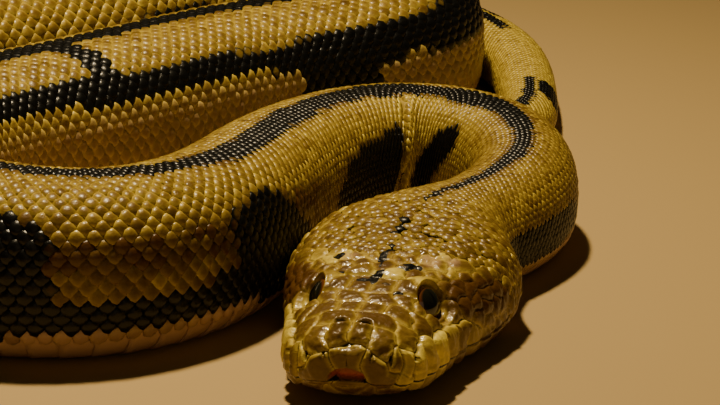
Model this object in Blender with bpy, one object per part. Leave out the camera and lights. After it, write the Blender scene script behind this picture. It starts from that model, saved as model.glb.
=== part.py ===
"""A reticulated python at rest, life size: one still animal lying in flat loops on the floor.

The body is a run of cross-sections along one middle line, from the snout to the tip of the tail.
The tables are in centimetres, heights are above the floor, and every mesh is made in metres.
"""
import bpy
import bmesh
import math
import numpy as np
from mathutils import Matrix, Vector

for old in list(bpy.data.objects):
    bpy.data.objects.remove(old, do_unlink=True)

CM = 0.01

# ---- driving sizes, centimetres ----
GAP = 0.05              # cut between two lengths of the body, on the middle line
SEAM = 0.03             # gap round an eye and along the mouth
AROUND = 18             # faces round the body
RING_STEP = 3.2         # between the rings of a straight length
RING_TURN = 17          # degrees between them, more, in a bend
NAPE = 12.2             # where the head ends and the neck starts
NECK_END = 20.0
TAIL_START = 0.87       # share of the whole length that lies before the vent
MOST_TURN = 92          # degrees of bending, either way, that one length of the body holds
MOST_RUN = 33.0         # the longest that one length of the body may be
JAW_FRONT, JAW_BACK = 0.34, 8.9
MIDDLE = (-17.125, 18.21)  # plan place of the middle of the model's box, from between the eyes

# The middle line in plan. The head points at -Y, and (0, 0) is the middle between the eyes.
ROUTE = (
    # head and neck
    (-0.82, -4.38), (-0.41, -2.2), (0.04, 0.0), (0.56, 2.3), (1.04, 4.3), (1.65, 6.0), (2.65, 7.6),
    # tight bend behind the head
    (3.85, 9.1), (4.95, 10.7), (5.7, 12.8), (5.6, 15.2), (4.7, 17.1), (3.0, 18.2), (1.0, 18.1), (-1.0, 16.7),
    # foremost run of the trunk and the loop at its left end
    (-2.8, 13.9), (-4.0, 10.9), (-5.1, 7.5), (-6.8, 4.6), (-9.3, 3.05), (-12.5, 3.3), (-16.3, 5.8),
    (-18.1, 10.2), (-17.0, 14.6), (-13.7, 18.4),
    # second run, back to the right, and its turn
    (-9.8, 22.3), (-5.9, 26.2), (-1.5, 29.6), (1.3, 33.3), (1.4, 37.2), (-1.3, 40.5), (-5.3, 41.3),
    # third run, outside the left loop, and the long bend in front of it
    (-9.6, 38.8), (-13.6, 34.3), (-18.4, 29.8), (-23.2, 25.0), (-26.4, 19.0), (-27.3, 12.0),
    (-26.4, 4.5), (-26.8, -3.5), (-29.4, -8.8), (-34.0, -10.3), (-38.2, -7.2),
    # outermost run, round the back
    (-39.2, -0.5), (-38.2, 8.0), (-37.2, 16.0), (-34.2, 24.5), (-28.8, 31.5), (-22.0, 38.0),
    (-15.5, 44.0), (-8.8, 47.8), (-2.0, 48.0), (3.1, 45.1), (6.2, 40.6),
    # tail: down the right side, then in between the runs
    (7.25, 35.8), (7.3, 31.3), (6.9, 27.6), (5.2, 25.0), (2.2, 23.7), (-1.6, 22.3), (-5.2, 19.4),
    (-7.6, 15.3), (-10.0, 12.0), (-13.2, 10.4))

# Head: distance from the snout, half width, heights of the crown, the widest line and the underside.
HEAD = (
    (0.0, 0.0, 2.15, 2.0, 1.85), (0.12, 0.86, 2.45, 1.9, 1.2), (0.35, 1.36, 2.66, 1.75, 0.82),
    (0.8, 1.84, 2.86, 1.5, 0.55), (1.6, 2.16, 2.96, 1.3, 0.4), (2.8, 2.44, 3.0, 1.2, 0.32),
    (4.4, 2.8, 3.16, 1.15, 0.22), (6.0, 3.34, 3.36, 1.15, 0.12), (7.6, 3.8, 3.6, 1.3, 0.06),
    (9.0, 3.98, 3.82, 1.5, 0.02), (10.2, 3.92, 3.93, 1.7, 0.0), (11.3, 3.5, 3.97, 1.8, 0.0),
    (12.6, 2.75, 3.96, 1.9, 0.0), (14.0, 2.2, 3.95, 1.9, 0.0))
HEAD_BLEND = (12.6, 17.5)                  # the head's table gives way to the body's here
# How square the outline is above and below the widest line; 1 is an ellipse, less is squarer.
SQUARE = (
    (0.0, 0.92, 0.9), (1.0, 0.88, 0.72), (2.5, 0.83, 0.6), (5.0, 0.8, 0.52), (8.0, 0.84, 0.58),
    (10.5, 0.9, 0.74), (13.0, 0.93, 0.8), (18.0, 0.86, 0.74), (26.0, 0.78, 0.68), (180.0, 0.78, 0.68),
    (250.0, 0.9, 0.85), (298.0, 1.0, 1.0))

# Body: share of the whole length, radius. Then share, half width over radius.
GIRTH = (
    (0.047, 2.1), (0.062, 2.28), (0.08, 2.55), (0.11, 2.82), (0.15, 3.05), (0.23, 3.35), (0.32, 3.5),
    (0.46, 3.65), (0.59, 3.6), (0.69, 3.2), (0.76, 2.7), (0.81, 2.15), (0.85, 1.65), (0.895, 1.25),
    (0.945, 0.85), (0.985, 0.42), (1.0, 0.12))
BREADTH = ((0.047, 0.97), (0.075, 0.88), (0.12, 0.9), (0.145, 0.93), (0.18, 1.04), (1.0, 1.04))
CROWN, WAIST, SAG = 1.89, 0.91, 0.07       # crown, widest line and sunk underside, over the radius

# Mouth line: distance from the snout, height.
MOUTH = (
    (0.0, 1.45), (0.15, 1.34), (0.6, 1.19), (1.6, 1.12), (2.9, 1.05), (4.5, 0.93), (6.5, 0.85), (8.9, 0.98))

# Eye: place on the head, half size across its face and through it, and where it looks.
EYE_BACK, EYE_OUT, EYE_UP = 4.45, 1.58, 2.44
EYE_FACE, EYE_DEPTH = 0.66, 0.55
EYE_AZIMUTH, EYE_LIFT = 67, 28             # degrees from straight ahead, and above level
BROW, BROW_BEHIND = 0.85, 0.1               # radius of the rim round the eye, and its centre behind the eye's
ORBIT_AT, ORBIT_DEEP, ORBIT_WIDE = 0.72, 0.5, 0.9    # bowl before the eye: its centre, and its half sizes

# Small hollows of the upper head: distance back, distance out, height, and half sizes.
NOTCH = (0.0, 0.0, 1.5, (0.5, 0.55, 0.28))
NOSTRILS = (1.15, 0.36, 2.96, (0.16, 0.2, 0.18))
HEAT_PITS = (
    (0.14, 0.82, 2.12, (0.18, 0.1, 0.15)),
    (0.42, 1.38, 1.98, (0.18, 0.14, 0.15)),
    (1.2, 1.98, 1.78, (0.18, 0.15, 0.14)))


def glide(x, table, column=1):
    """Read a smooth curve through a table's rows that never swings past them."""
    rows = np.array(table)
    places, values = rows[:, 0], rows[:, column]
    steps = np.diff(places)
    rises = np.diff(values) / steps
    slopes = np.concatenate((rises[:1], np.zeros(len(rises) - 1), rises[-1:]))
    for i in range(1, len(rises)):
        if rises[i] * rises[i - 1] > 0:
            ahead, behind = 2 * steps[i] + steps[i - 1], steps[i] + 2 * steps[i - 1]
            slopes[i] = (ahead + behind) / (ahead / rises[i - 1] + behind / rises[i])
    x = np.clip(x, places[0], places[-1])
    k = np.clip(np.searchsorted(places, x, side="right") - 1, 0, len(steps) - 1)
    t = (x - places[k]) / steps[k]
    start = (1 + 2 * t) * (1 - t) ** 2 * values[k] + t * (1 - t) ** 2 * steps[k] * slopes[k]
    end = t * t * (3 - 2 * t) * values[k + 1] + t * t * (t - 1) * steps[k] * slopes[k + 1]
    return start + end


def smooth_route(points, per_span=40):
    """Run a natural cubic spline through the route, so that the bends ease in and out."""
    p = np.array(points)
    chord = np.linalg.norm(np.diff(p, axis=0), axis=1)
    step = np.sqrt(chord)
    count = len(p)
    system = np.eye(count)
    right = np.zeros((count, 2))
    for i in range(1, count - 1):
        system[i, i - 1:i + 2] = step[i - 1], 2 * (step[i - 1] + step[i]), step[i]
        right[i] = 6 * ((p[i + 1] - p[i]) / step[i] - (p[i] - p[i - 1]) / step[i - 1])
    bend = np.linalg.solve(system, right)
    spans = []
    for i in range(count - 1):
        t = np.linspace(0, 1, per_span, endpoint=False)[:, None] * step[i]
        slope = (p[i + 1] - p[i]) / step[i] - step[i] * (2 * bend[i] + bend[i + 1]) / 6
        spans.append(p[i] + t * slope + t ** 2 * bend[i] / 2 + t ** 3 * (bend[i + 1] - bend[i]) / (6 * step[i]))
    return np.concatenate(spans + [p[-1:]])


LINE = smooth_route(ROUTE)
ALONG = np.concatenate(([0], np.cumsum(np.linalg.norm(np.diff(LINE, axis=0), axis=1))))
LENGTH = ALONG[-1]
_TANGENT = np.gradient(LINE, axis=0)
HEADING = np.unwrap(np.arctan2(_TANGENT[:, 1], _TANGENT[:, 0]))


def section(s):
    """Half width and heights of crown, widest line and underside, at s from the snout."""
    share = s / LENGTH
    radius = glide(share, GIRTH)
    body = (glide(share, BREADTH) * radius, CROWN * radius, WAIST * radius, -SAG * radius)
    head = [glide(s, HEAD, column) for column in (1, 2, 3, 4)]
    t = np.clip((s - HEAD_BLEND[0]) / (HEAD_BLEND[1] - HEAD_BLEND[0]), 0, 1)
    t = t * t * (3 - 2 * t)
    return [h * (1 - t) + b * t for h, b in zip(head, body)]


def place(s, out, height):
    """World point in metres: s along the middle line, out to the animal's own right, height up."""
    x = np.interp(s, ALONG, LINE[:, 0])
    y = np.interp(s, ALONG, LINE[:, 1])
    heading = np.interp(s, ALONG, HEADING)
    x = x - np.sin(heading) * out - MIDDLE[0]
    y = y + np.cos(heading) * out - MIDDLE[1]
    return Vector((x * CM, y * CM, height * CM))


def rim_point(s, angle):
    """A point on the outer surface: angle 0 is one flank, 90 degrees the crown."""
    half, crown, widest, under = section(s)
    c, n = math.cos(angle), math.sin(angle)
    power = glide(s, SQUARE, 1 if n > 0 else 2)
    reach = crown - widest if n > 0 else widest - under
    out = half * math.copysign(abs(c) ** power, c)
    return out, max(widest + reach * math.copysign(abs(n) ** power, n), 0.0)


def lip_angle(s, height):
    """The angle, below the widest line, at which the surface has this height."""
    _, _, widest, under = section(s)
    power = glide(s, SQUARE, 2)
    return -math.asin(min(max((widest - height) / (widest - under), 0.0), 1.0) ** (1 / power))


def whole_ring(s):
    """The full outline of the body at s."""
    return [place(s, *rim_point(s, 2 * math.pi * (k + 0.5) / AROUND)) for k in range(AROUND)]


def arc_ring(s, first, last, level, arc_points, flat_points=3):
    """Part of the outline from one angle to another, closed by a straight line at one height."""
    ring = [rim_point(s, first + (last - first) * k / (arc_points - 1)) for k in range(arc_points)]
    start, end = ring[0][0], ring[-1][0]
    ring[0], ring[-1] = (start, level), (end, level)
    for k in range(1, flat_points + 1):
        ring.append((end + (start - end) * k / (flat_points + 1), level))
    return [place(s, out, height) for out, height in ring]


def upper_head_ring(s):
    """The skull and upper jaw: the outline above the mouth line, or the whole of it behind the jaw."""
    level = glide(s, MOUTH) + SEAM / 2
    under = max(section(s)[3], 0.0)
    low = max(level if s < JAW_BACK + SEAM / 2 else under + 0.01, under + 0.01)
    angle = lip_angle(s, low)
    return arc_ring(s, angle, math.pi - angle, low, AROUND - 3)


def lower_jaw_ring(s):
    """The lower jaw: the outline below the mouth line."""
    level = glide(s, MOUTH) - SEAM / 2
    angle = lip_angle(s, level)
    return arc_ring(s, math.pi - angle, 2 * math.pi + angle, level, 11)


def paint(obj, colour, roughness):
    """Give an object its own plain material."""
    material = bpy.data.materials.new(obj.name)
    material.use_nodes = True
    shader = material.node_tree.nodes["Principled BSDF"]
    shader.inputs["Base Color"].default_value = (*colour, 1)
    shader.inputs["Roughness"].default_value = roughness
    shader.inputs["Metallic"].default_value = 0
    obj.data.materials.append(material)


def loft(name, rings, colour, roughness=0.4):
    """Join a run of rings into one closed solid with flat ends."""
    bm = bmesh.new()
    loops = [[bm.verts.new(point) for point in ring] for ring in rings]
    count = len(loops[0])
    for near, far in zip(loops, loops[1:]):
        for k in range(count):
            after = (k + 1) % count
            bm.faces.new((near[k], near[after], far[after], far[k]))
    bm.faces.new(loops[0])
    bm.faces.new(loops[-1])
    bmesh.ops.recalc_face_normals(bm, faces=bm.faces)
    mesh = bpy.data.meshes.new(name)
    bm.to_mesh(mesh)
    bm.free()
    mesh.shade_smooth()
    mesh.set_sharp_from_angle(angle=math.radians(50))
    obj = bpy.data.objects.new(name, mesh)
    bpy.context.scene.collection.objects.link(obj)
    paint(obj, colour, roughness)
    return obj


def ball(name, s, out, height, half_sizes, facing, segments, rings):
    """An egg shape at a place on the head. half_sizes are through it, across it and up."""
    bm = bmesh.new()
    bmesh.ops.create_uvsphere(bm, u_segments=segments, v_segments=rings, radius=1)
    turn = facing.to_track_quat("X", "Z").to_matrix().to_4x4()
    bm.transform(turn @ Matrix.Diagonal((*(h * CM for h in half_sizes), 1)))
    mesh = bpy.data.meshes.new(name)
    bm.to_mesh(mesh)
    bm.free()
    mesh.shade_smooth()
    obj = bpy.data.objects.new(name, mesh)
    obj.location = place(s, out, height)
    bpy.context.scene.collection.objects.link(obj)
    return obj


def cut(body, cutter, operation="DIFFERENCE"):
    """Take a cutter's shape out of a solid, or join it on, and keep the cutter out of the model."""
    cutter.hide_render = True
    cutter.display_type = "WIRE"
    boolean = body.modifiers.new(cutter.name, "BOOLEAN")
    boolean.operation = operation
    boolean.solver = "EXACT"
    boolean.object = cutter


def looking(side):
    """Where the eye on one side looks, in the world."""
    ahead = place(0.0, 0, 0) - place(EYE_BACK, 0, 0)
    outward = place(EYE_BACK, side, 0) - place(EYE_BACK, 0, 0)
    azimuth = math.radians(EYE_AZIMUTH)
    level = ahead.normalized() * math.cos(azimuth) + outward.normalized() * math.sin(azimuth)
    return level + Vector((0, 0, math.tan(math.radians(EYE_LIFT))))


def add_brow(head, label, side):
    """Raise the rim of scales that holds the eye, over its top, front and back."""
    facing = looking(side).normalized()
    behind = facing * (BROW_BEHIND * CM)
    brow = ball("brow_" + label, EYE_BACK, side * EYE_OUT, EYE_UP, (BROW, BROW, BROW), facing, 16, 10)
    brow.location = brow.location - behind
    cut(head, brow, "UNION")


def open_orbit(head, label, side):
    """Cut the bowl of skin through which the front of the eye shows."""
    facing = looking(side).normalized()
    sizes = (ORBIT_DEEP, ORBIT_WIDE, ORBIT_WIDE)
    bowl = ball("orbit_" + label, EYE_BACK, side * EYE_OUT, EYE_UP, sizes, looking(side), 16, 10)
    bowl.location = bowl.location + facing * (ORBIT_AT * CM)
    cut(head, bowl)


def hollow(head, name, spot, side):
    """Sink a nostril or a heat pit into one side of the snout."""
    back, out, height, sizes = spot
    centre = place(4.0, 0, 1.6)
    spot_place = place(back, side * out, height)
    cut(head, ball(name, back, side * out, height, sizes, spot_place - centre, 8, 6))


def make_head():
    """Skull and upper jaw, with orbits, sockets, nostrils, lip pits and the notch for the tongue."""
    spread = np.linspace(0.05, 1, 16) ** 1.8 * (NAPE - GAP / 2)
    stops = sorted(list(spread[abs(spread - JAW_BACK) > 0.3]) + [JAW_BACK, JAW_BACK + SEAM])
    head = loft("head", [upper_head_ring(s) for s in stops], (0.45, 0.33, 0.07))
    for label, side in (("left", -1), ("right", 1)):
        add_brow(head, label, side)
        open_orbit(head, label, side)
        socket = (EYE_DEPTH + SEAM, EYE_FACE + SEAM, EYE_FACE + SEAM)
        cut(head, ball("socket_" + label, EYE_BACK, side * EYE_OUT, EYE_UP, socket, looking(side), 16, 10))
        hollow(head, "nostril_" + label, NOSTRILS, side)
        for number, pit in enumerate(HEAT_PITS, 1):
            hollow(head, f"pit_{label}_{number}", pit, side)
    ahead = place(0.0, 0, 0) - place(2.0, 0, 0)
    cut(head, ball("tongue_notch", NOTCH[0], NOTCH[1], NOTCH[2], NOTCH[3], ahead, 12, 8))
    return head


def make_jaw():
    """Lower jaw, closed against the upper one."""
    stops = JAW_FRONT + np.linspace(0, 1, 10) ** 1.4 * (JAW_BACK - JAW_FRONT - SEAM)
    return loft("lower_jaw", [lower_jaw_ring(s) for s in stops], (0.5, 0.36, 0.12))


def make_eye(label, side):
    """One glossy eye in its socket, under a clear fixed scale."""
    sizes = (EYE_DEPTH, EYE_FACE, EYE_FACE)
    eye = ball("eye_" + label, EYE_BACK, side * EYE_OUT, EYE_UP, sizes, looking(side), 16, 10)
    paint(eye, (0.02, 0.022, 0.015), 0.05)
    return eye


def body_cuts():
    """Places where one length of the body ends: each bends and runs no more than its limit."""
    cuts = [NAPE, NECK_END]
    step = 0.25
    bending = 0.0
    for s in np.arange(NECK_END, LENGTH, step):
        bending += abs(np.interp(s + step, ALONG, HEADING) - np.interp(s, ALONG, HEADING))
        vent = cuts[-1] < TAIL_START * LENGTH <= s
        full = bending > math.radians(MOST_TURN) or s - cuts[-1] > MOST_RUN
        if vent or full and LENGTH - s > 8:
            cuts.append(s)
            bending = 0.0
    return cuts + [LENGTH]


def make_body():
    """Neck, trunk and tail, as lengths that meet end to end."""
    cuts = body_cuts()
    counts = {"trunk": 0, "tail": 0}
    for start, end in zip(cuts, cuts[1:]):
        if start == NAPE:
            name = "neck"
        else:
            part = "tail" if start >= TAIL_START * LENGTH - 0.5 else "trunk"
            counts[part] += 1
            name = f"{part}_{counts[part]}"
        first, last = start + GAP / 2, end - GAP / 2
        turned = np.abs(np.diff(np.interp(np.linspace(first, last, 12), ALONG, HEADING))).sum()
        number = max(3, round((last - first) / RING_STEP + math.degrees(turned) / RING_TURN) + 1)
        stops = np.linspace(first, last, number)
        loft(name, [whole_ring(s) for s in stops], (0.42, 0.31, 0.06))


make_head()
make_jaw()
make_eye("left", -1)
make_eye("right", 1)
make_body()
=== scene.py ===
"""A reticulated python at rest, life size, lying in flat loops on the floor with its chin down.

One skin runs from snout to tail. Plates cover the head, small scales the back and flanks, and wide
plates the belly. Tables are in centimetres, heights are above the floor, and meshes are in metres.
"""
import bpy
import math
import numpy as np
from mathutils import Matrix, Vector


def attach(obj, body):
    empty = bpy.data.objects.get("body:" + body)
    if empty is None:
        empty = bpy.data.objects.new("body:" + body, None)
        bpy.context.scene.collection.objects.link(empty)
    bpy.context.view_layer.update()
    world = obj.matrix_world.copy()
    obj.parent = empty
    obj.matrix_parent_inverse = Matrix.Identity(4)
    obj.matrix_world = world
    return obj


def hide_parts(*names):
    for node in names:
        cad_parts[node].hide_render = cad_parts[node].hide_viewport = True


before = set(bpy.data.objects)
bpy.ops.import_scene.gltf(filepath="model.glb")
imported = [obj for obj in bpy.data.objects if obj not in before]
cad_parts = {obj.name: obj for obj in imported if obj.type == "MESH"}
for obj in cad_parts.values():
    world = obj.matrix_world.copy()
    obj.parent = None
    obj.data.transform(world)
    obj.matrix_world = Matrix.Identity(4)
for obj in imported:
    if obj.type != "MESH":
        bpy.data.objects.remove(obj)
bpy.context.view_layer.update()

# ---- Skin ------------------------------------------------------------------------------------
# The bare hide under the scales, in one closed piece from the snout to the tip of the tail. It is
# a tube of cross-sections along the middle of the body, dark in the creases between the scales.
CM = 0.01
MIDDLE = (-17.125, 18.21)                   # plan place of the middle of the model's box
BELLY_EDGE = math.radians(-57)             # where the small scales give way to the belly plates

ROUTE = (
    # head and neck
    (-0.82, -4.38), (-0.41, -2.2), (0.04, 0.0), (0.56, 2.3), (1.04, 4.3), (1.65, 6.0), (2.65, 7.6),
    # tight bend behind the head
    (3.85, 9.1), (4.95, 10.7), (5.7, 12.8), (5.6, 15.2), (4.7, 17.1), (3.0, 18.2), (1.0, 18.1), (-1.0, 16.7),
    # foremost run of the trunk and the loop at its left end
    (-2.8, 13.9), (-4.0, 10.9), (-5.1, 7.5), (-6.8, 4.6), (-9.3, 3.05), (-12.5, 3.3), (-16.3, 5.8),
    (-18.1, 10.2), (-17.0, 14.6), (-13.7, 18.4),
    # second run, back to the right, and its turn
    (-9.8, 22.3), (-5.9, 26.2), (-1.5, 29.6), (1.3, 33.3), (1.4, 37.2), (-1.3, 40.5), (-5.3, 41.3),
    # third run, outside the left loop, and the long bend in front of it
    (-9.6, 38.8), (-13.6, 34.3), (-18.4, 29.8), (-23.2, 25.0), (-26.4, 19.0), (-27.3, 12.0),
    (-26.4, 4.5), (-26.8, -3.5), (-29.4, -8.8), (-34.0, -10.3), (-38.2, -7.2),
    # outermost run, round the back
    (-39.2, -0.5), (-38.2, 8.0), (-37.2, 16.0), (-34.2, 24.5), (-28.8, 31.5), (-22.0, 38.0),
    (-15.5, 44.0), (-8.8, 47.8), (-2.0, 48.0), (3.1, 45.1), (6.2, 40.6),
    # tail: down the right side, then in between the runs
    (7.25, 35.8), (7.3, 31.3), (6.9, 27.6), (5.2, 25.0), (2.2, 23.7), (-1.6, 22.3), (-5.2, 19.4),
    (-7.6, 15.3), (-10.0, 12.0), (-13.2, 10.4))

# Head: distance from the snout, half width, heights of the crown, the widest line and the underside.
HEAD = (
    (0.0, 0.0, 2.15, 2.0, 1.85), (0.12, 0.86, 2.45, 1.9, 1.2), (0.35, 1.36, 2.66, 1.75, 0.82),
    (0.8, 1.84, 2.86, 1.5, 0.55), (1.6, 2.16, 2.96, 1.3, 0.4), (2.8, 2.44, 3.0, 1.2, 0.32),
    (4.4, 2.8, 3.16, 1.15, 0.22), (6.0, 3.34, 3.36, 1.15, 0.12), (7.6, 3.8, 3.6, 1.3, 0.06),
    (9.0, 3.98, 3.82, 1.5, 0.02), (10.2, 3.92, 3.93, 1.7, 0.0), (11.3, 3.5, 3.97, 1.8, 0.0),
    (12.6, 2.75, 3.96, 1.9, 0.0), (14.0, 2.2, 3.95, 1.9, 0.0))
HEAD_BLEND = (12.6, 17.5)                  # the head's table gives way to the body's here
# How square the outline is above and below the widest line; 1 is an ellipse, less is squarer.
SQUARE = (
    (0.0, 0.92, 0.9), (1.0, 0.88, 0.72), (2.5, 0.83, 0.6), (5.0, 0.8, 0.52), (8.0, 0.84, 0.58),
    (10.5, 0.9, 0.74), (13.0, 0.93, 0.8), (18.0, 0.86, 0.74), (26.0, 0.78, 0.68), (180.0, 0.78, 0.68),
    (250.0, 0.9, 0.85), (298.0, 1.0, 1.0))

# Body: share of the whole length, radius. Then share, half width over radius.
GIRTH = (
    (0.047, 2.1), (0.062, 2.28), (0.08, 2.55), (0.11, 2.82), (0.15, 3.05), (0.23, 3.35), (0.32, 3.5),
    (0.46, 3.65), (0.59, 3.6), (0.69, 3.2), (0.76, 2.7), (0.81, 2.15), (0.85, 1.65), (0.895, 1.25),
    (0.945, 0.85), (0.985, 0.42), (1.0, 0.12))
BREADTH = ((0.047, 0.97), (0.075, 0.88), (0.12, 0.9), (0.145, 0.93), (0.18, 1.04), (1.0, 1.04))
CROWN, WAIST, SAG = 1.89, 0.91, 0.07       # crown, widest line and sunk underside, over the radius

# The eye: place on the head, and where it looks.
EYE_BACK, EYE_OUT, EYE_UP = 4.45, 1.58, 2.44
EYE_AZIMUTH, EYE_LIFT = 67, 28             # degrees from straight ahead, and above level
ORBIT_AT, ORBIT_DEEP, ORBIT_WIDE = 0.72, 0.5, 0.9   # bowl before the eye: its centre, and its half sizes


def glide(x, table, column=1):
    """Read a smooth curve through a table's rows that never swings past them."""
    rows = np.array(table)
    places, values = rows[:, 0], rows[:, column]
    steps = np.diff(places)
    rises = np.diff(values) / steps
    slopes = np.concatenate((rises[:1], np.zeros(len(rises) - 1), rises[-1:]))
    level = np.flatnonzero(rises[1:] * rises[:-1] > 0)
    ahead, behind = 2 * steps[level + 1] + steps[level], steps[level + 1] + 2 * steps[level]
    slopes[level + 1] = (ahead + behind) / (ahead / rises[level] + behind / rises[level + 1])
    x = np.clip(x, places[0], places[-1])
    k = np.clip(np.searchsorted(places, x, side="right") - 1, 0, len(steps) - 1)
    t = (x - places[k]) / steps[k]
    start = (1 + 2 * t) * (1 - t) ** 2 * values[k] + t * (1 - t) ** 2 * steps[k] * slopes[k]
    end = t * t * (3 - 2 * t) * values[k + 1] + t * t * (t - 1) * steps[k] * slopes[k + 1]
    return start + end


def smooth_route(points, per_span=40):
    """Run a natural cubic spline through the route, so that the bends ease in and out."""
    p = np.array(points)
    chord = np.linalg.norm(np.diff(p, axis=0), axis=1)
    step = np.sqrt(chord)
    count = len(p)
    system = np.eye(count)
    right = np.zeros((count, 2))
    for i in range(1, count - 1):
        system[i, i - 1:i + 2] = step[i - 1], 2 * (step[i - 1] + step[i]), step[i]
        right[i] = 6 * ((p[i + 1] - p[i]) / step[i] - (p[i] - p[i - 1]) / step[i - 1])
    bend = np.linalg.solve(system, right)
    spans = []
    for i in range(count - 1):
        t = np.linspace(0, 1, per_span, endpoint=False)[:, None] * step[i]
        slope = (p[i + 1] - p[i]) / step[i] - step[i] * (2 * bend[i] + bend[i + 1]) / 6
        change = (bend[i + 1] - bend[i]) / (6 * step[i])
        spans.append(p[i] + t * slope + t ** 2 * bend[i] / 2 + t ** 3 * change)
    return np.concatenate(spans + [p[-1:]])


LINE = smooth_route(ROUTE)
ALONG = np.concatenate(([0], np.cumsum(np.linalg.norm(np.diff(LINE, axis=0), axis=1))))
LENGTH = ALONG[-1]
TANGENT = np.gradient(LINE, axis=0)
HEADING = np.unwrap(np.arctan2(TANGENT[:, 1], TANGENT[:, 0]))


def ease(x, low, high):
    """Rise smoothly from 0 to 1 between two values."""
    t = np.clip((x - low) / (high - low), 0, 1)
    return t * t * (3 - 2 * t)


def above_zero(x, softness):
    """x where it is above 0, and otherwise 0, with a rounded turn between the two."""
    return 0.5 * (x + np.sqrt(x ** 2 + softness))


def section(s):
    """Half width and heights of crown, widest line and underside, at s from the snout."""
    share = s / LENGTH
    radius = glide(share, GIRTH)
    body = (glide(share, BREADTH) * radius, CROWN * radius, WAIST * radius, -SAG * radius)
    head = [glide(s, HEAD, column) for column in (1, 2, 3, 4)]
    t = ease(s, *HEAD_BLEND)
    return [h * (1 - t) + b * t for h, b in zip(head, body)]


def spot(s, out, height):
    """Places in the world, in metres: s along the body, out to the animal's own right, height up."""
    x = np.interp(s, ALONG, LINE[:, 0])
    y = np.interp(s, ALONG, LINE[:, 1])
    heading = np.interp(s, ALONG, HEADING)
    x = x - np.sin(heading) * out - MIDDLE[0]
    y = y + np.cos(heading) * out - MIDDLE[1]
    return np.stack((x, y, height + 0 * x), axis=-1) * CM


def outline(s, angle, lift):
    """Distance out and height on the body: angle 0 is its right flank, 90 degrees the crown."""
    half, crown, widest, under = section(s)
    c, n = np.cos(angle), np.sin(angle)
    power = np.where(n > 0, glide(s, SQUARE), glide(s, SQUARE, 2))
    reach = np.where(n > 0, crown - widest, widest - under)
    out = half * np.sign(c) * np.abs(c) ** power
    height = widest + reach * np.sign(n) * np.abs(n) ** power
    level_out = np.sign(c) * np.abs(c) ** (2 - power) / (half + 0.02)
    level_up = np.sign(n) * np.abs(n) ** (2 - power) / (reach + 0.02)
    steep = np.hypot(level_out, level_up) + 1e-9
    # a fold of skin inside the first bend: a crease with a low swelling before it
    from_fold = s - 28.6 + 1.15 * n
    crease = 0.3 * np.exp(-(from_fold / 0.17) ** 2) - 0.1 * np.exp(-((from_fold + 0.55) / 0.4) ** 2)
    lift = lift - crease * ease(n, -0.55, -0.2) * ease(-n, -0.99, -0.9) * (c > 0)
    resting = height <= 0
    out = out + lift * level_out / steep
    height = np.where(resting, -lift, height + lift * level_up / steep)
    return out, np.maximum(height, np.maximum(-lift, 0))


def eye_axis(side):
    """Which way the eye on one side looks, in the head's own space."""
    forward = math.radians(EYE_AZIMUTH)
    axis = np.array((-math.cos(forward), side * math.sin(forward), math.tan(math.radians(EYE_LIFT))))
    return axis / np.linalg.norm(axis)


def from_eye(points):
    """Depth before the eye on the same side, distance off its axis, and which way it looks."""
    axis = eye_axis(1)
    mirror = np.ones(points.shape)
    mirror[..., 1] = np.where(points[..., 1] < 0, -1.0, 1.0)
    away = (points - (EYE_BACK, 0, EYE_UP)) * mirror - (0, EYE_OUT, 0)
    depth = away @ axis
    return depth, np.linalg.norm(away - depth[..., None] * axis, axis=-1), axis * mirror


def press_orbits(points, below=0.0):
    """Press points of the head (back, out, height) down into the bowls in which the eyes lie."""
    depth, off_axis, looks = from_eye(points)
    bowl = ORBIT_AT - ORBIT_DEEP * np.sqrt(np.clip(1 - (off_axis / ORBIT_WIDE) ** 2, 0, 1)) - below
    near = ease(-off_axis, -ORBIT_WIDE - below, -ORBIT_WIDE - below + 0.15) * (depth < 2)
    sink = above_zero(depth - bowl, 0.002) * near
    return points - looks * sink[..., None]


def hide_point(s, angle, lift):
    """Places on the body's surface, or lift above it, in the world."""
    return spot(s, *outline(s, angle, lift))


# How far round each cross-section a share of the way from the crown to the belly's edge lies.
STOPS = np.linspace(0.02, LENGTH, 700)
TURNS = np.linspace(math.pi / 2, BELLY_EDGE, 181)
_ring = hide_point(STOPS[:, None], TURNS[None, :], 0.0)
_steps = np.linalg.norm(np.diff(_ring, axis=1), axis=2) / CM
_arc = np.concatenate((np.zeros((len(STOPS), 1)), np.cumsum(_steps, axis=1)), axis=1)
HALF_GIRTH = _arc[:, -1]
SHARES = np.linspace(0, 1, 121)
TURN_AT = np.array([np.interp(SHARES, row / row[-1], TURNS) for row in _arc])


def share_at(s, angle):
    """The signed share of the arc from crown to belly's edge at an angle; past 1 on the belly."""
    folded = np.arcsin(np.clip(np.sin(angle), -1, 1))
    row = np.clip(np.searchsorted(STOPS, s), 0, len(STOPS) - 1)
    shares = np.empty(s.shape)
    for k in np.unique(row):
        here = row == k
        shares[here] = np.interp(-folded[here], -TURN_AT[k], SHARES)
    return np.where(folded < BELLY_EDGE, 1.2, shares) * np.where(np.cos(angle) >= 0, 1.0, -1.0)


def patch(s, a, s_from, s_to, a_from, a_to, soft=0.12):
    """A rounded blotch between two distances along the body and two shares round it."""
    along = (s - (s_from + s_to) / 2) / ((s_to - s_from) / 2)
    across = (a - (a_from + a_to) / 2) / ((a_to - a_from) / 2)
    far = (np.abs(along) ** 3 + np.abs(across) ** 3) ** (1 / 3)
    return ease(-far, -1 - soft, -1 + soft)


def wander(s, seed, length):
    """A slow wandering value, between about -1 and 1, that repeats nowhere along the body."""
    return (np.sin(s / length + seed) + np.sin(s / length * 1.618 + 2.3 * seed)
            + 0.6 * np.sin(s / length * 2.9 + 4.1 * seed)) / 2.6


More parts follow.
